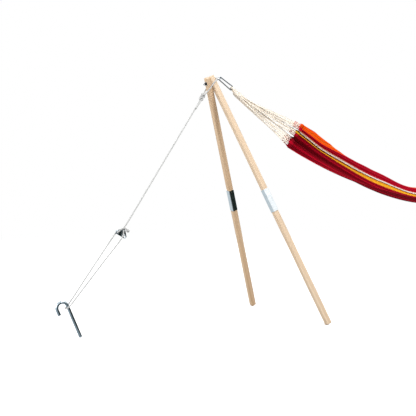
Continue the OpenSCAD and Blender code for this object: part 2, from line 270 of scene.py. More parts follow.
def grey(level):
    """A grey of that linear level."""
    return (level,) * 3


def dimmed(colour, share):
    """A colour with only that share of its light."""
    return tuple(share * c for c in colour)


def leg_axes(fold_joint, pull_joint):
    """The rotation from the shared frame into a leg's own, with Z up the leg, and the place of its bolt."""
    x = Vector(joints[fold_joint]["axis"]).normalized()
    z = -Vector(joints[pull_joint]["axis"]).normalized()
    y = z.cross(x).normalized()
    return Matrix((x, y, z)), Vector(joints[fold_joint]["pos_m"])


PORE_BROWN = linear(128, 92, 58)


def wood(name, fold_joint, pull_joint, seed, light, dark):
    """Pale planed hardwood whose grain runs along the leg."""
    turn, origin = leg_axes(fold_joint, pull_joint)
    s = Shader(name, Roughness=0.52, Specular_IOR_Level=0.35)
    shift = -(turn @ origin) + Vector((seed, 0, seed))
    along = s.scaled(s.coords(), (1, 1, 1), turn=turn.to_euler("XYZ"), shift=shift)
    bands = s.noise(s.scaled(along, (16, 16, 0.7)), detail=2, distortion=0.6)
    rings = s.wave(s.scaled(along, (1, 1, 0.03)), "DIAGONAL", 26.0,
                   Distortion=5.0, Detail=3.0, Detail_Scale=0.6)
    grain = s.noise(s.scaled(along, (260, 260, 3.2)), detail=4)
    pores = s.noise(s.scaled(along, (1100, 1100, 16)), detail=2)
    base = s.ramp(bands, (0.32, dark), (0.62, light))
    ringed = s.mix(s.ramp(rings, (0.0, grey(0.0)), (1.0, grey(0.34))), base, dimmed(dark, 0.82))
    grained = s.mix(s.ramp(grain, (0.42, grey(0.34)), (0.66, grey(0.0))), ringed, dimmed(dark, 0.74))
    pored = s.mix(s.ramp(pores, (0.26, grey(0.35)), (0.36, grey(0.0))), grained, PORE_BROWN)
    s.feed(Base_Color=pored)
    s.feed(Roughness=s.ramp(grain, (0.3, grey(0.62)), (0.7, grey(0.46))))
    s.feed(Normal=s.bump(pores, 0.20, 0.0005, s.bump(grain, 0.18, 0.0006)))
    return s.material


def zinc(name, colour, roughness=0.15):
    """Bright zinc plating with faint blotches and fine scratches."""
    s = Shader(name, Metallic=1.0)
    place = s.coords()
    blotch = s.noise(place, scale=55, detail=5)
    fine = s.noise(s.scaled(place, (700, 700, 2600)), detail=2)
    s.feed(Base_Color=s.ramp(blotch, (0.3, dimmed(colour, 0.72)), (0.7, colour)))
    s.feed(Roughness=s.ramp(blotch, (0.3, grey(roughness + 0.09)), (0.7, grey(roughness))))
    s.feed(Normal=s.bump(fine, 0.12, 0.0002))
    return s.material


def galvanised(name, colour):
    """Hot-dip galvanised steel with its spangle."""
    s = Shader(name, Metallic=1.0)
    place = s.coords()
    spangle = s.node("TexVoronoi", Vector=place, Scale=95.0).outputs["Color"]
    tone = s.node("SeparateColor", Color=spangle).outputs[0]
    dull = s.noise(place, scale=24, detail=4)
    base = s.ramp(tone, (0.0, dimmed(colour, 0.88)), (1.0, colour))
    cloud = s.ramp(dull, (0.45, grey(0.0)), (0.75, grey(0.22)))
    s.feed(Base_Color=s.mix(cloud, base, dimmed(colour, 0.6)))
    s.feed(Roughness=s.ramp(tone, (0.0, grey(0.15)), (1.0, grey(0.24))))
    s.feed(Normal=s.bump(tone, 0.10, 0.0003))
    return s.material


def fibre(name, light, dark, strand=0.0011, contrast=0.45):
    """Twisted or braided yarn. UV is in metres, with V along the cord."""
    s = Shader(name, Roughness=0.86, Specular_IOR_Level=0.2)
    s.bsdf.inputs["Sheen Weight"].default_value = 0.35
    s.bsdf.inputs["Sheen Roughness"].default_value = 0.5
    uv = s.coords("UV")
    hairs = s.noise(s.scaled(uv, (0.9 / strand, 0.10 / strand, 1)), detail=4)
    patches = s.noise(s.coords(), scale=34, detail=3)
    worn = s.mix(s.ramp(patches, (0.35, grey(0.5)), (0.7, grey(0.0))), light, dark)
    shade = s.ramp(hairs, (0.34, (contrast,) * 3), (0.62, grey(0.0)))
    s.feed(Base_Color=s.mix(shade, worn, dimmed(dark, 0.82)))
    s.feed(Normal=s.bump(hairs, 0.8 * contrast, 0.0005))
    return s.material


CLOTH_WIDTH = 0.9
CRIMSON = linear(192, 0, 38)
# painted shade: crimson darkened where the cloth's folds and underside lie in shadow
PAINTED_SHADE_RED = linear(146, 0, 24)
# painted shade: the deep valley in the near half of the cloth, near 0.41 of its width
PAINTED_VALLEY_SHADE = linear(96, 0, 12)
YELLOW = linear(255, 190, 40)
# painted shade: the yellow stripe as it looks in the shade of the fold near 0.69 of the width
PAINTED_SHADE_YELLOW = linear(96, 62, 22)
CREAM = linear(255, 242, 232)
ORANGE = linear(255, 90, 0)
PALE_ORANGE = linear(255, 128, 40)
# the cloth's lengthwise bands and the share of its width at which each starts, counted from the near edge; the
# deep red, maroon and olive ones are painted shade in its folds
STRIPES_AND_PAINTED_SHADE = ((0.0, CRIMSON), (0.015, PAINTED_SHADE_RED), (0.14, CRIMSON), (0.24, PAINTED_SHADE_RED), (0.36, PAINTED_VALLEY_SHADE),
           (0.44, PAINTED_SHADE_RED), (0.48, CRIMSON), (0.555, PAINTED_SHADE_RED), (0.585, CRIMSON), (0.604, YELLOW),
           (0.694, PAINTED_SHADE_YELLOW), (0.706, CREAM), (0.735, CRIMSON), (0.80, PAINTED_SHADE_RED), (0.815, CRIMSON),
           (0.848, ORANGE), (0.905, PALE_ORANGE), (0.918, ORANGE), (0.99, CRIMSON))
# what the yarn's slubs and its fading take from the dye, and the painted shade in the gaps between its threads
SLUB_DIM = (0.45, 0.42, 0.42)
FADE_DIM = (0.62, 0.50, 0.52)
GAP_PAINTED_SHADE = (0.25, 0.22, 0.22)


def woven(name):
    """Plain-woven cotton with dyed lengthwise bands and bands of painted shade along its folds. UV is in metres, U
    across the cloth.
    """
    s = Shader(name, Roughness=0.80, Specular_IOR_Level=0.06)
    s.bsdf.inputs["Sheen Weight"].default_value = 0.04
    s.bsdf.inputs["Sheen Roughness"].default_value = 0.45
    s.bsdf.inputs["Sheen Tint"].default_value = (1.0, 0.72, 0.66, 1)
    uv = s.coords("UV")
    split = s.node("SeparateXYZ", Vector=uv)
    across = s.maths("DIVIDE", split.outputs["X"], CLOTH_WIDTH)
    # painted shade: the deep red, maroon and olive bands darken the cloth where its folds lie in shadow
    bands_and_painted_shade = s.ramp(across, *STRIPES_AND_PAINTED_SHADE, interpolation="CONSTANT")
    slub = s.noise(s.scaled(uv, (900, 9, 1)), detail=3)
    fading = s.noise(s.scaled(uv, (16, 2.4, 1)), detail=4)
    threads = s.maths("MULTIPLY", s.wave(uv, "X", 260.0), s.wave(uv, "Y", 190.0))
    dyed = s.mix(s.ramp(slub, (0.36, grey(0.30)), (0.64, grey(0.0))), bands_and_painted_shade, SLUB_DIM, "MULTIPLY")
    aged = s.mix(s.ramp(fading, (0.42, grey(0.0)), (0.72, grey(0.22))), dyed, FADE_DIM, "MULTIPLY")
    # painted shade: the gaps between the threads are darkened
    shown = s.mix(s.ramp(threads, (0.0, grey(0.24)), (0.5, grey(0.0))), aged, GAP_PAINTED_SHADE, "MULTIPLY")
    s.feed(Base_Color=shown)
    s.feed(Normal=s.bump(threads, 0.35, 0.0005, s.bump(slub, 0.35, 0.0006)))
    return s.material


LIGHT_WOOD = linear(223, 200, 172)
TAN_WOOD = linear(218, 190, 158)
DARK_WOOD = linear(204, 170, 132)
ZINC = zinc("zinc_fittings", linear(205, 210, 214))
PEG_ZINC = zinc("zinc_rod", linear(206, 218, 226), 0.13)
DARK_STEEL = zinc("dark_steel", linear(74, 74, 76), 0.36)
SLEEVE = galvanised("galvanised_steel", linear(246, 250, 252))
WHITE_ROPE = fibre("white_rope", linear(193, 193, 191), linear(184, 184, 182), contrast=0.35)
COTTON = fibre("cotton_cord", linear(255, 247, 234), linear(246, 232, 213), 0.0008, 0.20)
CLOTH = woven("striped_cloth")
RUNNER = zinc("runner_plate", linear(190, 202, 208), 0.12)


def paint(obj, material):
    """Give an object one material only."""
    obj.data.materials.clear()
    obj.data.materials.append(material)


ZINC_NODES = ("sleeve_screw_outer", "sleeve_screw_inner", "eye_bolt", "bolt_washers", "snap_hook", "snap_gate",
              "gate_rivet")

for end in ENDS:
    for leg, seed, light, dark in (("outer", 0.13, TAN_WOOD, DARK_WOOD), ("inner", 0.71, LIGHT_WOOD, TAN_WOOD)):
        timber = wood(f"{leg}_leg_wood_{end}", f"leg_fold_{end}", f"{leg}_pole_pull_{end}", seed, light, dark)
        paint(nodes[f"upper_pole_{leg}_{end}"], timber)
        paint(nodes[f"lower_pole_{leg}_{end}"], timber)
        paint(nodes[f"sleeve_{leg}_{end}"], SLEEVE)
    for node in ZINC_NODES:
        paint(nodes[f"{node}_{end}"], ZINC)
    paint(nodes[f"ground_peg_{end}"], PEG_ZINC)

# ---- meshes ----


def link_mesh(name, vertices, faces, uvs, material):
    """A smooth-shaded mesh object from arrays. uvs gives one U, V pair for each vertex."""
    mesh = bpy.data.meshes.new(name)
    mesh.from_pydata([tuple(v) for v in vertices], [], [tuple(f) for f in faces])
    layer = mesh.uv_layers.new(name="metres")
    corner = np.zeros(len(mesh.loops), np.int32)
    mesh.loops.foreach_get("vertex_index", corner)
    layer.data.foreach_set("uv", np.asarray(uvs, np.float32)[corner].ravel())
    mesh.materials.append(material)
    mesh.validate()
    mesh.shade_smooth()
    obj = bpy.data.objects.new(name, mesh)
    scene.collection.objects.link(obj)
    return obj


def run_along(path):
    """How far along a path each of its points lies."""
    return np.concatenate([[0], np.cumsum(np.linalg.norm(np.diff(path, axis=0), axis=1))])


def curve_through(points, step):
    """A smooth curve through given points, sampled about every step metres."""
    p = np.asarray(points, float)
    padded = np.vstack([2 * p[0] - p[1], p, 2 * p[-1] - p[-2]])
    t = np.linspace(0, 1, 16, endpoint=False)[:, None]
    parts = []
    for a, b, c, d in zip(padded, padded[1:], padded[2:], padded[3:]):
        parts.append(0.5 * (2 * b + (c - a) * t + (2 * a - 5 * b + 4 * c - d) * t**2
                            + (3 * b - a - 3 * c + d) * t**3))
    dense = np.vstack([*parts, p[-1:]])
    run = run_along(dense)
    at = np.linspace(0, run[-1], max(3, int(round(run[-1] / step)) + 1))
    return np.stack([np.interp(at, run, dense[:, i]) for i in range(3)], 1)


ANY_SIDE = (0.31, 0.87, 0.39)  # along no cord, so that it gives each one a side to start from


def tube(path, radius, lobes=3, depth=0.2, pitch=0.03, sides=12, u_at=None):
    """A twisted cord along a path, as vertices, faces and UVs.

    It has lobes strands, whose grooves are depth of the radius deep and go round once in each pitch. radius may
    differ at each point of the path. u_at sets one U for the whole cord. A path that ends where it starts becomes
    a closed ring, whose twist is stretched a little to meet itself.
    """
    path = np.asarray(path, float)
    n = len(path)
    radius = np.broadcast_to(np.asarray(radius, float), (n,))
    closed = np.allclose(path[0], path[-1])
    tangent = np.gradient(path, axis=0)
    if closed:
        tangent[0] = tangent[-1] = path[1] - path[-2]
    tangent /= np.linalg.norm(tangent, axis=1)[:, None]
    side = np.cross(tangent[0], ANY_SIDE)
    sides_at = []
    for t in tangent:
        side = side - t * (side @ t)
        side /= np.linalg.norm(side)
        sides_at.append(side)
    side = np.array(sides_at)
    other = np.cross(tangent, side)
    run = run_along(path)
    angle = np.arange(sides) * 2 * math.pi / sides
    lobed = 1 - depth * (1 - np.abs(np.cos(lobes * angle / 2)))
    twist = 2 * math.pi * run[-1] / pitch
    if closed:
        drift = math.atan2(side[0] @ other[-1], side[0] @ side[-1])
        twist = 2 * math.pi * round((twist - drift) / (2 * math.pi)) + drift
    turned = angle[None] + twist * run[:, None] / run[-1]
    across = side[:, None] * np.cos(turned)[..., None] + other[:, None] * np.sin(turned)[..., None]
    points = path[:, None] + across * (radius[:, None] * lobed[None])[..., None]
    u = np.broadcast_to(angle * radius.mean(), (n, sides)) if u_at is None else np.full((n, sides), u_at)
    uvs = np.stack([u, np.broadcast_to(run[:, None], (n, sides))], -1).reshape(-1, 2)
    faces = []
    for i in range(n - 1):
        j = 0 if closed and i == n - 2 else i + 1
        for k in range(sides):
            m = (k + 1) % sides
            faces.append((i * sides + k, i * sides + m, j * sides + m, j * sides + k))
    if closed:
        return points[:-1].reshape(-1, 3), faces, uvs[:-sides]
    faces.append(tuple(range(sides - 1, -1, -1)))
    faces.append(tuple((n - 1) * sides + k for k in range(sides)))
    return points.reshape(-1, 3), faces, uvs


def joined(parts):
    """Several meshes as one set of arrays."""
    vertices, faces, uvs, base = [], [], [], 0
    for v, f, uv in parts:
        vertices.append(v)
        uvs.append(uv)
        faces.extend(tuple(base + i for i in face) for face in f)
        base += len(v)
    return np.vstack(vertices), faces, np.vstack(uvs)


def cords(name, parts, material):
    """One object from several tubes."""
    return link_mesh(name, *joined(parts), material)


def moved(points, matrix):
    """Points taken through a matrix."""
    return np.array([matrix @ Vector(p) for p in points])


def stand_matrix(end):
    """The frame of a stand: on the ground below its bolt, with the peg at -X."""
    return HALF_TURN[end] @ Matrix.Translation((BOLT_A.x, 0, 0))


# how far the bolts tip up towards the hammock
LEAN = math.atan2(joints["leg_fold_a"]["axis"][2], joints["leg_fold_a"]["axis"][0])


def bolt_matrix(end):
    """The frame of a stand's bolt, with X along the bolt towards its eye."""
    return stand_matrix(end) @ Matrix.Translation((0, 0, BOLT_A.z)) @ Matrix.Rotation(-LEAN, 4, "Y")


# ---- guy rope ----

ROPE_R = 0.0045
ROPE_STEP = 0.003
ROPE_PITCH = 0.036
ROPE_GROOVE = 0.11
KNOT_GROOVE = 0.22
# places in the stand's frame; the tail's two are in the knot's frame, with Z up the rope
KNOT = Vector((-0.063, 0, 1.492))
ROPE_SLOPE = math.radians(56.8)
KNOT_TURNS, KNOT_WAVES = 2, 3
TAIL_END = (0, -0.0096, -0.094)
TAIL_WHIPPED_TO = (0, -0.0096, -0.087)
WHIPPING_R = 0.0008
STOPPER = Vector((-0.589, -0.006, 0.634))
STOPPER_SLOPE = math.radians(62)
STOPPER_R = 0.0037
# the rope's middle line in millimetres: the loop in the bolt's frame, the other two in the stand's
LOOP_ROUTE = ((-88, -4, -66), (-60, -14, -52), (-35, -23, -37), (0, -30, -13), (25, -30, 0), (38, -27, 7),
              (44, -15, 10), (44, 0, 11), (44, 15, 10), (38, 27, 7), (25, 30, 0), (0, 32, -14), (-35, 35, -38),
              (-60, 23, -53), (-88, 4, -66))
UPPER_ROUTE = ((-80, 0, 1466), (-200, 0, 1282), (-330, 0, 1083), (-460, 0, 884), (-560, 0, 731),
               (-600, 7, 668), (-612, 12, 650), (-617, 7, 641), (-617, 0, 641))
LOWER_ROUTE = ((-617, 0, 641), (-617, -7, 641), (-620, -12, 634), (-634, -13, 590), (-740, -13, 465),
               (-860, -14, 323), (-955, -15.2, 211), (-975, -15.5, 191), (-984, -12, 186), (-989, 0, 184),
               (-984, 12, 186), (-975, 15.5, 193), (-955, 15.2, 219), (-860, 14, 352), (-760, 13, 491),
               (-672, 12, 612), (-660, 11, 626), (-656, 6, 630), (-656, 0, 630), (-656, -7, 630),
               (-650, -13, 636), (-632, -15, 650), (-610, -14, 652), (-596, -9, 642))


def rope_piece(name, route, matrix):
    """A length of the rope along a route in millimetres."""
    path = curve_through(moved(np.array(route) / 1000, matrix), ROPE_STEP)
    rope = tube(path, ROPE_R, depth=ROPE_GROOVE, pitch=ROPE_PITCH, sides=18)
    return cords(name, [rope], WHITE_ROPE)


def knot_turns(big, small, tall, turns, waves, steps=150):
    """The middle line of a tight round knot about Z, which goes round turns times and over and under waves
    times."""
    t = np.linspace(0, 2 * math.pi, steps)
    out = big + small * np.cos(waves * t)
    return np.stack([out * np.cos(turns * t), out * np.sin(turns * t), tall * np.sin(waves * t)], 1)


def knot_piece(name, end):
    """The knot below the legs, in two turns, with the rope through it and the whipped tail along the rope."""
    along = stand_matrix(end) @ Matrix.Translation(KNOT) @ Matrix.Rotation(math.pi / 2 - ROPE_SLOPE, 4, "Y")
    parts = []
    for height, size in ((0.012, 1.0), (-0.012, 0.92)):
        turn = knot_turns(0.0085 * size, 0.0048, 0.011, KNOT_TURNS, KNOT_WAVES) + (0, 0, height)
        parts.append(tube(moved(turn, along), ROPE_R, depth=KNOT_GROOVE, pitch=ROPE_PITCH, sides=15))
    middle = ((0, 0, 0.026), (0, 0, 0.005), (0, 0, -0.034))
    tail = ((0.002, -0.004, 0.0), (0.003, -0.008, -0.018), (0.002, -0.0096, -0.045),
            (0, -0.0094, -0.075), (0, -0.0096, -0.096))
    for route, groove in ((middle, 0.24), (tail, KNOT_GROOVE)):
        path = curve_through(moved(route, along), ROPE_STEP)
        parts.append(tube(path, ROPE_R, depth=groove, pitch=ROPE_PITCH, sides=15))
    whipping = knot_turns(0.0047, 0, 0, 5, 1, 90) + np.linspace(TAIL_END, TAIL_WHIPPED_TO, 90)
    parts.append(tube(moved(whipping, along), WHIPPING_R, depth=0, sides=6))
    return cords(name, parts, WHITE_ROPE)


def stopper_piece(name, end):
    """The small knot that keeps the rope's end from slipping back through the runner."""
    centre = stand_matrix(end) @ Matrix.Translation(STOPPER) @ Matrix.Rotation(STOPPER_SLOPE, 4, "Y")
    turn = moved(knot_turns(0.0046, 0.0030, 0.0052, KNOT_TURNS, KNOT_WAVES, 110), centre)
    tail = curve_through(moved(((0, 0, -0.004), (0.001, 0, 0.006), (0.002, 0.001, 0.0115)), centre), 0.002)
    parts = [tube(turn, STOPPER_R, pitch=0.02), tube(tail, 0.0040, pitch=0.02)]
    return cords(name, parts, WHITE_ROPE)


for end in ENDS:
    stand = stand_matrix(end)
    loop = rope_piece(f"rope_loop_{end}", LOOP_ROUTE, bolt_matrix(end))
    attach(loop, "stands")
    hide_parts(f"guy_loop_{end}")
    knot = knot_piece(f"rope_knot_{end}", end)
    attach(knot, "stands")
    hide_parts(f"guy_knot_{end}")
    upper = rope_piece(f"rope_upper_{end}", UPPER_ROUTE, stand)
    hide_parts(f"guy_line_{end}")
    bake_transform(upper)
    lower = rope_piece(f"rope_lower_{end}", LOWER_ROUTE, stand)
    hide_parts(f"guy_line_{end}")
    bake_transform(lower)
    stopper = stopper_piece(f"rope_stopper_{end}", end)
    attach(stopper, f"runner_{end}")
    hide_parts(f"stopper_knot_{end}")

# ---- rope runner ----

RUNNER_HOLES = ((-0.617, 0.641), (-0.656, 0.630), (-0.609, 0.601))
RUNNER_RIM_R = 0.0092
RUNNER_RIM_ROD = 0.0036


def ring_path(centre, radius, steps=40):
    """A circle that stands across Y, about a centre given as X and Z."""
    t = np.linspace(0, 2 * math.pi, steps)
    return np.stack([centre[0] + radius * np.cos(t), 0 * t, centre[1] + radius * np.sin(t)], 1)


for end in ENDS:
    paint(nodes[f"rope_runner_{end}"], RUNNER)
    circles = [moved(ring_path(hole, RUNNER_RIM_R), stand_matrix(end)) for hole in RUNNER_HOLES]
    tubes = [tube(circle, RUNNER_RIM_ROD, depth=0, pitch=math.inf, sides=14) for circle in circles]
    rims = cords(f"runner_rims_{end}", tubes, RUNNER)
    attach(rims, f"runner_{end}")

# ---- bolt end ----

NUT_X = -0.0453
NUT_H = 0.008
NUT_FLATS = 0.017
NUT_CHAMFER = 0.0009
BOLT_R = 0.005
THREAD_PITCH = 0.0015
THREAD_LENGTH = 0.0095
THREAD_RIDGE_R = 0.00045


def nut_piece(name, end):
    """A hexagon nut with its chamfered corners."""
    bm = bmesh.new()
    centre = bolt_matrix(end) @ Matrix.Translation((NUT_X + NUT_H / 2, 0, 0))
    turn = centre @ Matrix.Rotation(math.pi / 2, 4, "Y")
    corner = NUT_FLATS / 2 / math.cos(math.pi / 6)
    bmesh.ops.create_cone(bm, cap_ends=True, segments=6, radius1=corner, radius2=corner, depth=NUT_H,
                          matrix=turn)
    bmesh.ops.bevel(bm, geom=list(bm.edges), offset=NUT_CHAMFER, segments=2, affect="EDGES")
    mesh = bpy.data.meshes.new(name)
    bm.to_mesh(mesh)
    bm.free()
    mesh.materials.append(DARK_STEEL)
    obj = bpy.data.objects.new(name, mesh)
    scene.collection.objects.link(obj)
    return obj


def thread_piece(name, end):
    """The thread's ridge on the bolt's end, beyond the nut."""
    t = np.linspace(0, THREAD_LENGTH / THREAD_PITCH * 2 * math.pi, 260)
    path = np.stack([NUT_X - t / (2 * math.pi) * THREAD_PITCH, BOLT_R * np.cos(t), BOLT_R * np.sin(t)], 1)
    return cords(name, [tube(moved(path, bolt_matrix(end)), THREAD_RIDGE_R, depth=0, sides=6)], DARK_STEEL)


for end in ENDS:
    nut = nut_piece(f"hex_nut_{end}", end)
    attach(nut, "stands")
    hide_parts(f"bolt_nut_{end}")
    thread = thread_piece(f"bolt_thread_{end}", end)
    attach(thread, "stands")

# ---- hammock cloth ----

CLOTH_END_X = 1.331
CLOTH_THICKNESS = 0.0012
CLOTH_LOW = 0.807
SAG, SAG_BEND = 0.760, 1.18
PLEATS = 22
ALONG, ACROSS = 200, 320
RIM_R = 0.009
FLAP_LEAN = 0.35


def mixed(a, b, f):
    """From a to b as f goes from 0 to 1."""
    return a + (b - a) * f


def rise(x):
    """A smooth step from 0 to 1 as x goes from 0 to 1."""
    x = np.clip(x, 0, 1)
    return x * x * (3 - 2 * x)


def cloth_frame(s):
    """The cloth's smooth shape, by the same rule as the CAD cloth. For each station, from 1 at the -X end to -1 at
    +X: the middle point, the directions across and out of the cloth, half its width and its hollow's depth."""
    a = np.abs(s)
    x = -s * CLOTH_END_X
    height = CLOTH_LOW + SAG * (np.sqrt(x * x + SAG_BEND**2) - SAG_BEND)
    roll = np.radians(mixed(12, 78, a**1.6))
    half = mixed(0.216, 0.121, a**1.25)
    hollow = mixed(0.088, 0.008, a**2.5)
    lean = np.radians(45 * s * a)
    zero = np.zeros_like(s)
    up = np.stack([np.sin(lean), zero, np.cos(lean)], -1)
    y = np.stack([zero, zero + 1, zero], -1)
    across = np.cos(roll)[:, None] * y + np.sin(roll)[:, None] * up
    out = np.cos(roll)[:, None] * up - np.sin(roll)[:, None] * y
    return np.stack([x, zero, height], -1), across, out, half, hollow


def far_fold(s):
    """The share of the cloth's width that turns over the far rim and hangs behind it."""
    a = np.abs(s)
    return (0.165 - 0.020 * np.exp(-((a / 0.15) ** 2))) * (1 - rise((a - 0.56) / 0.40))


def far_crest(s):
    """How far across the cloth its far rim lies: 1 at the edge of the CAD cloth."""
    a = np.abs(s)
    middle = 0.07 * np.exp(-(((a - 0.27) / 0.13) ** 2)) - 0.10 * np.exp(-((a / 0.16) ** 2))
    return 1 + middle - 0.10 * (rise((a - 0.42) / 0.20) - rise((a - 0.82) / 0.13))


def near_crest(s):
    """The same for the near rim, which droops in the middle."""
    return 1 - 0.20 * (1 - rise((np.abs(s) - 0.1) / 0.4))


def cloth_surface(s, u):
    """Points of the cloth at stations s and widths u, from 0 at the near edge to 1 at the far edge. They have the
    hollow of the hung cloth, the flap that turns over its far rim, and its folds."""
    middle, across, out, half, hollow = cloth_frame(s)
    rim = 1 - far_fold(s)
    crest, near = far_crest(s), near_crest(s)
    v = (near + crest)[:, None] * np.minimum(u[None] / rim[:, None], 1) - near[:, None]
    past = np.maximum(u[None] - rim[:, None], 0) * CLOTH_WIDTH
    slope = np.arctan2(2 * hollow * crest, half)
    tangent = np.cos(slope)[:, None] * across + np.sin(slope)[:, None] * out
    inward = np.cos(slope)[:, None] * out - np.sin(slope)[:, None] * across
    full = np.arctan2(tangent[:, 2], tangent[:, 1]) + math.pi / 2 + FLAP_LEAN * np.exp(-((s / 0.3) ** 2))
    turned = np.minimum(past / RIM_R, full[:, None])
    straight = np.maximum(past - RIM_R * full[:, None], 0)
    forward = RIM_R * np.sin(turned) + straight * np.cos(turned)
    behind = RIM_R * (1 - np.cos(turned)) + straight * np.sin(turned)
    points = (middle[:, None] + across[:, None] * (half[:, None] * v)[..., None]
              + out[:, None] * (hollow[:, None] * (v * v - 1 / 3))[..., None]
              + tangent[:, None] * forward[..., None] - inward[:, None] * behind[..., None])
    normal = np.cross(np.gradient(points, axis=1), np.gradient(points, axis=0))
    normal /= np.linalg.norm(normal, axis=2)[..., None] + 1e-12
    normal *= np.sign((normal * out[:, None]).sum(2).mean(1))[:, None, None]
    return points + normal * fold_height(s[:, None], u[None])[..., None]


# each long fold of the cloth: its place in the width, how wide it is, and its height at the ends and in the middle
LONG_FOLDS = ((0.14, 0.11, 0.007, 0.003), (0.41, 0.045, -0.022, -0.006), (0.50, 0.040, 0.011, 0.004),
              (0.60, 0.035, 0.009, 0.004), (0.682, 0.026, -0.017, 0.002), (0.735, 0.024, 0.009, 0.000),
              (0.79, 0.040, 0.008, 0.008), (0.94, 0.032, 0.003, 0.001))


def fold_height(s, u):
    """How far the cloth's folds stand out of its smooth shape. There are a few long ones, the pleats of its
    gathered ends, and soft waves in the middle."""
    a = np.abs(s)
    drift = 0.010 * np.sin(2.1 * s + 0.6)
    long_folds = sum(mixed(middle, end, a**1.6) * np.exp(-(((u - at - drift * (at - 0.4)) / width) ** 2))
                     for at, width, end, middle in LONG_FOLDS)
    pleat = np.sin(2 * math.pi * PLEATS * (u - 0.25 / PLEATS) + 0.9 * (1 - a) * np.sin(9 * u + 2 * s))
    edges = rise(np.minimum(u, 1 - u) / 0.035) * (1 - 0.85 * rise((u - 0.81) / 0.05))
    fine = mixed(0.0040, 0.0076, a**3.0) * edges
    soft = 0.0035 * (1 - a**2) * np.sin(2 * math.pi * 8.3 * u + 3 * s + 1.5 * np.sin(5 * s))
    return long_folds + fine * pleat + soft


def cloth_piece(name):
    """The whole cloth, with its stations closer together near the gathered ends."""
    s = np.cos(np.linspace(0, math.pi, ALONG + 1)) * 0.35 + np.linspace(1, -1, ALONG + 1) * 0.65
    u = np.linspace(0, 1, ACROSS + 1)
    points = cloth_surface(s, u)
    run = run_along(points[:, ACROSS // 2])
    uvs = np.stack(np.broadcast_arrays(u[None] * CLOTH_WIDTH, run[:, None]), -1).reshape(-1, 2)
    row = ACROSS + 1
    faces = [(i * row + k, i * row + k + 1, (i + 1) * row + k + 1, (i + 1) * row + k)
             for i in range(ALONG) for k in range(ACROSS)]
    obj = link_mesh(name, points.reshape(-1, 3), faces, uvs, CLOTH)
    thick = obj.modifiers.new("cloth", "SOLIDIFY")
    thick.thickness = CLOTH_THICKNESS
    thick.offset = 0
    return obj


cloth = cloth_piece("striped_sheet")
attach(cloth, "hammock")
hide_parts("hammock_cloth")

# ---- cords ----

HOOK_SLOPE = math.radians(33)
HOOK_REACH = 0.1155
BOLT_EYE_REACH = 0.059 + 0.0155
EYE_DROOP = math.radians(9)
GOLDEN_ANGLE = 2.39996
CORD_R = 0.0023
THIN_PITCH = 0.012
CORD_STEP = 0.002
# the bow of cords, along X from the hook
EYE_MID_R = 0.0135
EYE_LEG = 0.026
BOW_CORDS = 9
BOW_SPREAD = 0.0053
BOW_NARROWS = 0.045
BOW_END = 0.062
# the binding round the bundle
BINDING = 0.045
BINDING_TURNS = 12
BINDING_R = 0.0208
BINDING_CORD_R = 0.0021
BUNDLE_R = 0.0185
# the fan: strands to each pleat, and how many neighbouring pleats lie as one bunch
STRANDS = 2
GROUP = 3
BUNDLE_SPREAD = 0.0190
SHUFFLE = 0.009
PLEAT_TURN = 1.1
# least size and random spread of what each pleat ends in
TUFT_REACH = (0.016, 0.014)
TUFT_R = (0.0014, 0.0060)
YARN_REACH = (0.040, 0.035)
YARN_R = 0.0016
LOOP_REACH = 0.022
LOOP_HALF_WIDTH = 0.0048
LOOP_R = 0.0018
KNOT_R = 0.0019
STRAND_GAP = 0.0032
STRAND_SAG = 0.008


def eye_matrix():
    """The frame of the bow of cords at the -X end: X runs from the hook towards the cloth."""
    along = Vector((math.cos(LEAN), 0, math.sin(LEAN)))
    down = Vector((math.cos(HOOK_SLOPE), 0, -math.sin(HOOK_SLOPE)))
    hook = BOLT_A + along * BOLT_EYE_REACH + down * 0.0002
    turned = Matrix.Translation(hook) @ Matrix.Rotation(HOOK_SLOPE, 4, "Y")
    return turned @ Matrix.Translation((HOOK_REACH, 0, 0)) @ Matrix.Rotation(EYE_DROOP, 4, "Y")


EYE = eye_matrix()


def spiral_disc(count, radius):
    """Places spread evenly over a disc."""
    k = np.arange(count) + 0.5
    turn = GOLDEN_ANGLE * k
    return radius * np.sqrt(k / count)[:, None] * np.stack([np.cos(turn), np.sin(turn)], 1)


def eye_cords(end):
    """The bow: each cord goes in along one side, round through the hook and back."""
    parts = []
    for p, q in spiral_disc(BOW_CORDS, BOW_SPREAD):
        r = EYE_MID_R + p
        tight = EYE_MID_R * 0.62 + p
        bend = [(-r * math.sin(a), -r * math.cos(a), q) for a in np.linspace(0, math.pi, 9)]
        there = [(BOW_END, -tight * 0.55, q), (BOW_NARROWS, -tight * 0.9, q), (EYE_LEG * 0.7, -r, q)]
        back = [(x, -y, z) for x, y, z in reversed(there)]
        path = curve_through(moved(np.array([*there, *bend, *back]), EYE) * MIRROR[end], 0.003)
        parts.append(tube(path, CORD_R, depth=0.24, pitch=0.015, sides=9))
    return parts


def binding_cords(end):
    """Cord wound round the neck of the bundle, and the bundle inside it."""
    t = np.linspace(0, 2 * math.pi * BINDING_TURNS, BINDING_TURNS * 30)
    swell = BINDING_R * (0.93 + 0.07 * np.sin(np.linspace(0, math.pi, len(t))))
    wound = np.stack([EYE_LEG + 0.002 + BINDING * 0.92 * t / t[-1], swell * np.cos(t), swell * np.sin(t)], 1)
    core = [(EYE_LEG - 0.002, 0, 0), (EYE_LEG + BINDING * 0.5, 0, 0), (EYE_LEG + BINDING + 0.004, 0, 0)]
    bundle = curve_through(moved(core, EYE) * MIRROR[end], 0.006)
    return [tube(moved(wound, EYE) * MIRROR[end], BINDING_CORD_R, depth=0.2, pitch=0.014, sides=9),
            tube(bundle, BUNDLE_R, lobes=14, depth=0.12, pitch=0.25, sides=56)]


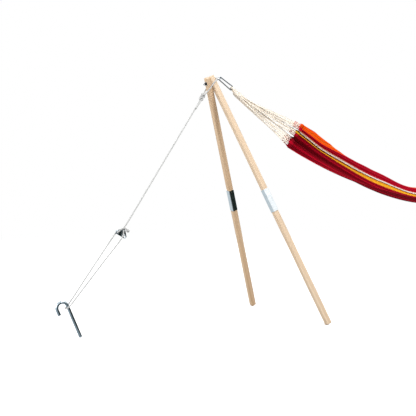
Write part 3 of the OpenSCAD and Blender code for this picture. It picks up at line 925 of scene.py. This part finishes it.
def bezier(p0, p1, p2, p3, step):
    """A cubic curve with a point about every step metres."""
    t = np.linspace(0, 1, max(4, int(np.linalg.norm(p3 - p0) / step)))[:, None]
    return (1 - t) ** 3 * p0 + 3 * (1 - t) ** 2 * t * p1 + 3 * (1 - t) * t**2 * p2 + t**3 * p3


def tuft_tube(inner, tip, to_neck, reach, end, u_at):
    """The pleat's gathered edge, which narrows into the cords."""
    path = bezier(inner, tip, tip + to_neck * reach * 0.4, tip + to_neck * reach, CORD_STEP)
    thickness = TUFT_R[0] + TUFT_R[1] * np.sin(math.pi * np.linspace(0, 1, len(path)) ** 0.7)
    return tube(path * MIRROR[end], thickness, lobes=5, depth=0.25, sides=15, u_at=u_at)


def yarn_tube(tip, to_neck, sideways, lie, side, reach, end, u_at):
    """A loose warp yarn that lies along the cords."""
    bow = lie * 0.006 * side
    path = bezier(tip, tip + to_neck * 0.015 + bow, tip + to_neck * 0.03 - bow,
                  tip + to_neck * reach + sideways * 0.005 * side, CORD_STEP)
    return tube(path * MIRROR[end], YARN_R, pitch=THIN_PITCH, sides=7, u_at=u_at)


def loop_path(tip, to_neck, lie, reach):
    """The white loop by which the cords hold a pleat."""
    t = np.linspace(-math.pi, math.pi, 26)
    return (tip + to_neck * (reach + 0.016) - to_neck[None] * (LOOP_REACH * np.cos(t * 0.5) ** 2)[:, None]
            + lie[None] * (LOOP_HALF_WIDTH * np.sin(t))[:, None])


def fan_cords(end):
    """The fan from the neck to the pleats. Each pleat has a tuft, loose yarns, a loop, a knot and strands."""
    rng = np.random.default_rng(11)
    u = (np.arange(PLEATS) + 0.5) / PLEATS
    edge = cloth_surface(np.array([1.0, 0.985]), u)
    across = cloth_frame(np.array([1.0]))[1][0]
    neck, ahead, aside, above = moved([(EYE_LEG + BINDING + x, y, z)
                                       for x, y, z in ((0, 0, 0), (1, 0, 0), (0, 1, 0), (0, 0, 1))], EYE)
    axis, frame_y, frame_z = ahead - neck, aside - neck, above - neck
    across_y, across_z = across @ frame_y, across @ frame_z
    size = math.hypot(across_y, across_z)
    places = spiral_disc(PLEATS * STRANDS, BUNDLE_SPREAD)
    order = np.argsort(places[:, 0] + rng.normal(0, SHUFFLE, len(places)))
    group = [edge[0, k // GROUP * GROUP:k // GROUP * GROUP + GROUP].mean(0) for k in range(PLEATS)]
    ecru, coloured = [], []
    for k in range(PLEATS):
        tip, inner, u_at = edge[0, k], edge[1, k], u[k] * CLOTH_WIDTH
        to_neck = (neck - tip) / np.linalg.norm(neck - tip)
        sideways = np.cross(to_neck, across)
        sideways /= np.linalg.norm(sideways)
        lie = across * math.cos(PLEAT_TURN * k) + sideways * math.sin(PLEAT_TURN * k)
        reach = TUFT_REACH[0] + TUFT_REACH[1] * rng.random()
        coloured.append(tuft_tube(inner, tip, to_neck, reach, end, u_at))
        for side in (-1, 0, 1):
            yarn_reach = YARN_REACH[0] + YARN_REACH[1] * rng.random()
            coloured.append(yarn_tube(tip, to_neck, sideways, lie, side, yarn_reach, end, u_at))
        loop = loop_path(tip, to_neck, lie, reach)
        ecru.append(tube(loop * MIRROR[end], LOOP_R, pitch=THIN_PITCH, sides=9))
        knot_at = tip + to_neck * (reach + 0.018)
        turns = knot_turns(0.0030, 0.0017, 0.0028, KNOT_TURNS, KNOT_WAVES, 50)
        knot = knot_at + turns @ np.stack([across, sideways, to_neck])
        ecru.append(tube(knot * MIRROR[end], KNOT_R, pitch=THIN_PITCH, sides=8))
        for strand in range(STRANDS):
            a, b = places[order[k * STRANDS + strand]]
            start = neck - axis * 0.012 + ((frame_y * across_y + frame_z * across_z) / size * a
                                           + (frame_z * across_y - frame_y * across_z) / size * b)
            finish = knot_at + (strand - 0.5) * STRAND_GAP * lie
            span = np.linalg.norm(finish - start)
            first = start + axis * span * 0.10 + (finish - start) * 0.12
            drawn = 0.7 * (group[k] - tip)
            last = finish - (finish - start) * 0.30 + drawn - np.array([0, 0, STRAND_SAG * rng.random()])
            path = bezier(start, first, last, finish, 0.0045)
            thickness = CORD_R * (1.0 + 0.25 * rng.random())
            ecru.append(tube(path * MIRROR[end], thickness, depth=0.07, pitch=0.018, sides=9))
    return ecru, coloured


for end in ENDS:
    eye = cords(f"cord_bow_{end}", eye_cords(end), COTTON)
    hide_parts(f"cord_eye_{end}")
    binding = cords(f"cord_whipping_{end}", binding_cords(end), COTTON)
    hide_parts(f"cord_binding_{end}")
    ecru, coloured = fan_cords(end)
    fan = cords(f"fan_cords_{end}", ecru, COTTON)
    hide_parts(f"cord_fan_{end}")
    for piece in (eye, binding, fan):
        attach(piece, "hammock")
    tufts = cords(f"warp_tufts_{end}", coloured, CLOTH)
    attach(tufts, "hammock")

# ---- floor ----

FLOOR_HALF = 60
FLOOR_FADE = 12.0
FLOOR_PALE = (0.58, 0.65, 0.69)
FLOOR_DARK = (0.012, 0.020, 0.017)
FLOOR_BOUNCE = (0.50, 0.50, 0.50, 1)


def make_floor():
    """A pale floor that fades to the studio's white a few metres out. Metal mirrors it as dark at the front right,
    and it throws little light back up."""
    mesh = bpy.data.meshes.new("floor")
    corners = [(x * FLOOR_HALF, y * FLOOR_HALF, 0) for x, y in ((-1, -1), (1, -1), (1, 1), (-1, 1))]
    mesh.from_pydata(corners, [], [(0, 1, 2, 3)])
    s = Shader("floor", Roughness=0.95, Specular_IOR_Level=0.0, Emission_Strength=1.0)
    place = s.coords()
    distance = s.node("VectorMath", {"operation": "LENGTH"}, i0=place).outputs["Value"]
    fade = s.maths("DIVIDE", distance, FLOOR_FADE)
    s.feed(Base_Color=s.ramp(fade, (0.2, grey(0.84)), (0.7, grey(0.0)), interpolation="EASE"))
    s.feed(Emission_Color=s.ramp(fade, (0.1, grey(0.30)), (0.5, grey(1.0)), interpolation="EASE"))
    path = s.node("LightPath").outputs
    split = s.node("SeparateXYZ", Vector=place).outputs
    front = s.ramp(s.maths("MULTIPLY_ADD", split["Y"], -0.1, 0.5), (0.485, grey(0.0)), (0.53, grey(1.0)))
    right = s.ramp(s.maths("MULTIPLY_ADD", split["X"], 0.1, 0.5), (0.165, grey(0.0)), (0.215, grey(1.0)))
    dark = s.maths("MULTIPLY", front, right)
    mirrored = s.node("Emission", Strength=1.0, Color=s.mix(dark, FLOOR_PALE, FLOOR_DARK)).outputs[0]
    bounced = s.node("BsdfDiffuse", Color=FLOOR_BOUNCE).outputs[0]
    unseen = s.node("MixShader", i0=path["Is Glossy Ray"], i1=bounced, i2=mirrored).outputs[0]
    whole = s.node("MixShader", i0=path["Is Camera Ray"], i1=unseen, i2=s.bsdf.outputs[0]).outputs[0]
    s.tree.links.new(whole, s.tree.nodes["Material Output"].inputs["Surface"])
    mesh.materials.append(s.material)
    floor = bpy.data.objects.new("floor", mesh)
    scene.collection.objects.link(floor)


make_floor()
